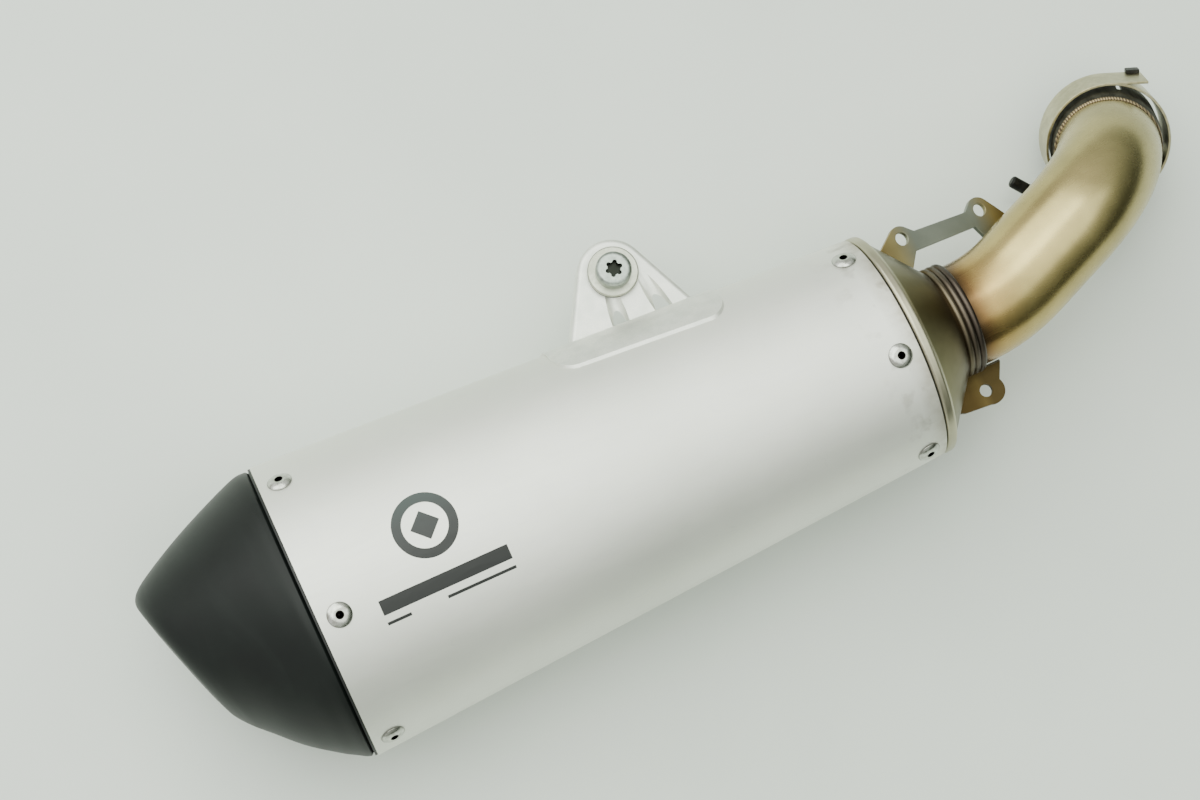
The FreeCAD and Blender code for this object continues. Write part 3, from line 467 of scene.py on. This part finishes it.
# the seals between the sleeve and both caps: lumpy black rubber, matt
black_sealant, tree, shader, place = finish("black_sealant", Roughness=0.55)
lumps = put(tree, "TexNoise", Vector=place, Scale=600.0, Detail=3.0)
join(tree, shader,
     Base_Color=put(tree, "ValToRGB", Fac=lumps, stops=[(0.3, "#070807"), (0.7, "#141514")]),
     Normal=put(tree, "Bump", Height=lumps, Strength=0.3, Distance=0.1 * mm))
dress(black_sealant, "tail_gasket", "front_gasket")

# ---------------------------------------------------------------- inside the can
# A perforated stainless core wrapped in steel wool and packed with glass fibre, the plate that
# carries it, and the tail tube. They are seen only through the outlet.
mill_stainless, tree, shader, place = finish("mill_stainless", Metallic=1.0)
mill = put(tree, "TexNoise", Vector=put(tree, "Mapping", Vector=place, Scale=(60, 500, 500)),
           Scale=1.0, Detail=5.0)
join(tree, shader,
     Base_Color=put(tree, "ValToRGB", Fac=mill, stops=[(0.3, "#858A80"), (0.7, "#A3A89D")]),
     Roughness=put(tree, "MapRange", Value=mill, To_Min=0.28, To_Max=0.46),
     Normal=put(tree, "Bump", Height=mill, Strength=0.1, Distance=0.03 * mm))
dress(mill_stainless, "perforated_core", "tail_plate", "outlet_tube")
# grey wire wool and cream glass fibre: strands about 1 mm wide and 3 or 4 mm long, laid
# round the can
for name, node, light_tone, dark_tone, metallic, spacing in (
        ("stainless_wool", "steel_wool_wrap", "#8C8C86", "#4D4D49", 1.0, 1400.0),
        ("glass_fibre", "packing_wool", "#E4DFC8", "#BDB698", 0.0, 900.0)):
    wool, tree, shader, place = finish(name, Metallic=metallic, Roughness=0.75)
    drawn_out = put(tree, "Mapping", Vector=place, Scale=(1, 0.25, 0.25))
    strands = put(tree, "TexNoise", Vector=drawn_out, Scale=spacing, Detail=4.0, Distortion=2.0)
    join(tree, shader,
         Base_Color=put(tree, "ValToRGB", Fac=strands,
                        stops=[(0.3, dark_tone), (0.7, light_tone)]),
         Normal=put(tree, "Bump", Height=strands, Strength=0.8, Distance=0.3 * mm))
    dress(wool, node)

# ---------------------------------------------------------------- front cap, collar and pipe
# Pressed stainless cone with a rolled lip, a ribbed collar and a bent 50 mm pipe, TIG welded. The
# heat of the gas has tinted them: pale lip, olive bronze cone, brown collar, straw-gold pipe.


def tinted(name, stops, start, end, low, high):
    """Stainless whose oxide colour changes along X, from start to end, with a cloudy edge."""
    material, tree, shader, place = finish(name, Metallic=1.0)
    cloud = put(tree, "TexNoise", Vector=place, Scale=38.0, Detail=4.0)
    drawn = put(tree, "TexNoise", Scale=1.0, Detail=2.0,
                Vector=put(tree, "Mapping", Vector=place, Scale=(90, 260, 260)))
    share = put(tree, "MapRange", Value=put(tree, "SeparateXYZ", Vector=place), From_Min=start,
                From_Max=end)
    swing = put(tree, "MapRange", Value=cloud, To_Min=-0.021, To_Max=0.021)
    moved = put(tree, "Math", operation="ADD", _0=share, _1=swing)
    tint = put(tree, "ValToRGB", Fac=moved, stops=stops)
    shade = put(tree, "ValToRGB", Fac=cloud, stops=[(0.3, "#D8D8D8"), (0.7, "#FFFFFF")])
    colour = put(tree, "MixRGB", blend_type="MULTIPLY", Fac=1.0, Color1=tint, Color2=shade)
    join(tree, shader, Base_Color=colour,
         Roughness=put(tree, "MapRange", Value=drawn, To_Min=low, To_Max=high))
    return material


cone_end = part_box("front_cap")[1].x
lip_share = 6.3 * mm / (cone_end - sleeve_high.x)
cone_tint = [(0.0, "#B3AE96"), (lip_share, "#C6C0A6"), (lip_share + 0.03, "#767050"),
             (0.7, "#6A6144"), (0.92, "#574B36")]
dress(tinted("heat_tinted_cone", cone_tint, sleeve_high.x, cone_end, 0.26, 0.4), "front_cap")
collar_low, collar_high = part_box("collar")
collar_tint = [(0.0, "#6D6350"), (0.5, "#5E554B"), (1.0, "#4A423D")]
dress(tinted("burnt_collar", collar_tint, collar_low.x, collar_high.x, 0.3, 0.45), "collar")
# an orange-brown ring at the collar, fading to straw gold within about 20 mm
pipe_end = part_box("inlet_pipe")[1].x
pipe_tint = [(0.0, "#54422F"), (0.03, "#8A6C45"), (0.08, "#BA9D62"), (0.2, "#C3AF74"),
             (0.6, "#BFB07A"), (1.0, "#B5AA7E")]
dress(tinted("straw_tinted_pipe", pipe_tint, collar_high.x, pipe_end, 0.24, 0.3), "inlet_pipe")
tab_tint = [(0.0, "#483B22"), (0.6, "#56492B"), (1.0, "#463B24")]
dress(tinted("bronze_tab", tab_tint, collar_low.x, collar_high.x, 0.4, 0.55), "lower_tab")
# the socket's weld bead: brown ripples about 4 mm apart
weld_steel, tree, shader, place = finish("weld_steel", Metallic=1.0, Roughness=0.42)
scales = put(tree, "TexWave", Vector=place, Scale=260.0, Distortion=2.0, Detail=2.0)
join(tree, shader,
     Base_Color=put(tree, "ValToRGB", Fac=scales, stops=[(0.2, "#54483A"), (0.8, "#8C7D60")]),
     Normal=put(tree, "Bump", Height=scales, Strength=0.5, Distance=0.2 * mm))
dress(weld_steel, "socket_weld")

# ---------------------------------------------------------------- socket and clamp
# The pipe ends in a slotted stainless socket, coloured dark and dull as painted shade inside the
# strap, held by a bare stainless strap with a faint straw tint. The strap's bolt, nut and locating
# lug are blackened steel.


def worked_metal(name, dark_tone, light_tone, low, high, metallic=1.0, pattern=300.0,
                 relief=0.12):
    """A cloudy metal surface. A pattern of 300 is about 3 mm across, and one of 1500, 0.7 mm."""
    material, tree, shader, place = finish(name, Metallic=metallic)
    cloud = put(tree, "TexNoise", Vector=place, Scale=pattern, Detail=6.0, Roughness=0.62)
    broad = put(tree, "TexNoise", Vector=place, Scale=pattern / 9, Detail=2.0)
    both = put(tree, "Math", operation="MULTIPLY", _0=cloud, _1=broad)
    join(tree, shader,
         Base_Color=put(tree, "ValToRGB", Fac=both, stops=[(0.16, dark_tone), (0.34, light_tone)]),
         Roughness=put(tree, "MapRange", Value=cloud, To_Min=low, To_Max=high),
         Normal=put(tree, "Bump", Height=cloud, Strength=relief, Distance=0.1 * mm))
    return material


# the socket's dark colour is painted shade for the gap between the strap and the pipe
shade_dark_metal = worked_metal("shade_dark_stainless", "#2E2C26", "#55534A", 0.4, 0.6)
eased_copy("inlet_socket", "muffler", shade_dark_metal, 0.25 * mm)
strap = worked_metal("strap_stainless", "#A29B79", "#C6C0A0", 0.28, 0.42)
eased_copy("clamp_band", "clamp", strap, 0.3 * mm)
eased_copy("clamp_bridge", "clamp", strap, 0.2 * mm)
black_oxide = worked_metal("black_oxide", "#1A1A18", "#34332F", 0.38, 0.55, metallic=0.75)
eased_copy("clamp_nut", "clamp", black_oxide, 0.25 * mm)
eased_copy("clamp_lug", "clamp", black_oxide, 0.2 * mm)
eased_copy("clamp_bolt", "clamp_bolt", black_oxide, 0.2 * mm)

# ---------------------------------------------------------------- hanger
# Pressed aluminium ear and foot, bead blasted to a soft white satin and welded to the can. A
# zinc-plated flanged sleeve and its washer hold a rubber bush in the ear, and a plated bolt,
# greyer than they are, runs through them.
blasted = worked_metal("blasted_aluminium", "#E2E4DC", "#F0F0E9", 0.5, 0.62, pattern=1500.0,
                       relief=0.1)
eased_copy("hanger_bracket", "muffler", blasted, 0.45 * mm)
zinc = worked_metal("zinc_plate", "#A3A596", "#BFC0B2", 0.3, 0.46, pattern=700.0)
eased_copy("hanger_sleeve", "muffler", zinc, 0.2 * mm)
eased_copy("hanger_rear_washer", "muffler", zinc, 0.2 * mm)
bolt_zinc, tree, shader, place = finish("bolt_zinc", Metallic=1.0)
passivated = put(tree, "TexNoise", Vector=place, Scale=520.0, Detail=5.0)
bright = put(tree, "ValToRGB", Fac=passivated, stops=[(0.3, "#868D86"), (0.7, "#A8AFA7")])
# painted shade in the six-lobed recess: dark near the axis, between its floor and mouth
recess_radius = 4.4 * mm
bolt_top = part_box("hanger_bolt")[1].z
put(tree, "VectorMath", operation="LENGTH",
    _0=put(tree, "Mapping", Vector=place, Scale=(1, 1, 0)))
near = put(tree, "MapRange", Value=tree.nodes[-1].outputs["Value"],
           From_Min=recess_radius + 0.2 * mm, From_Max=recess_radius)
put(tree, "SeparateXYZ", Vector=place)
height = tree.nodes[-1].outputs["Z"]
under = put(tree, "MapRange", Value=height, From_Min=bolt_top - 0.3 * mm,
            From_Max=bolt_top - 0.8 * mm)
over = put(tree, "MapRange", Value=height, From_Min=bolt_top - 6.2 * mm,
           From_Max=bolt_top - 6.0 * mm)
recess = put(tree, "Math", operation="MULTIPLY", _1=over,
             _0=put(tree, "Math", operation="MULTIPLY", _0=near, _1=under))
join(tree, shader,
     Base_Color=put(tree, "MixRGB", Fac=recess, Color1=bright, Color2=linear("#242622")),
     Roughness=put(tree, "MapRange", Value=passivated, To_Min=0.26, To_Max=0.42),
     Normal=put(tree, "Bump", Height=passivated, Strength=0.1, Distance=0.05 * mm))
eased_copy("hanger_bolt", "hanger_bolt", bolt_zinc, 0.2 * mm)
# matt black rubber with a slight bloom, 2 mm across
moulded_rubber, tree, shader, place = finish("moulded_rubber", Roughness=0.7)
bloom = put(tree, "TexNoise", Vector=place, Scale=500.0, Detail=4.0)
join(tree, shader,
     Base_Color=put(tree, "ValToRGB", Fac=bloom, stops=[(0.3, "#121212"), (0.7, "#1E1E1D")]),
     Normal=put(tree, "Bump", Height=bloom, Strength=0.2, Distance=0.1 * mm))
dress(moulded_rubber, "hanger_grommet")

# ---------------------------------------------------------------- heat shield bracket
# Laser-cut stainless strip with two holes, welded by its ends to the cone and to the pipe: dull
# grey green in the middle, with straw and brown heat tint at both welds.
bracket_low, bracket_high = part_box("shield_bracket")
bracket_tint = [(0.0, "#7E6A3F"), (0.14, "#A5976A"), (0.28, "#8E9388"), (0.74, "#8E9388"),
                (0.88, "#9C8C5C"), (1.0, "#6B5330")]
bracket_steel = tinted("weld_tinted_strip", bracket_tint, bracket_low.x, bracket_high.x, 0.34,
                       0.5)
eased_copy("shield_bracket", "muffler", bracket_steel, 0.25 * mm)
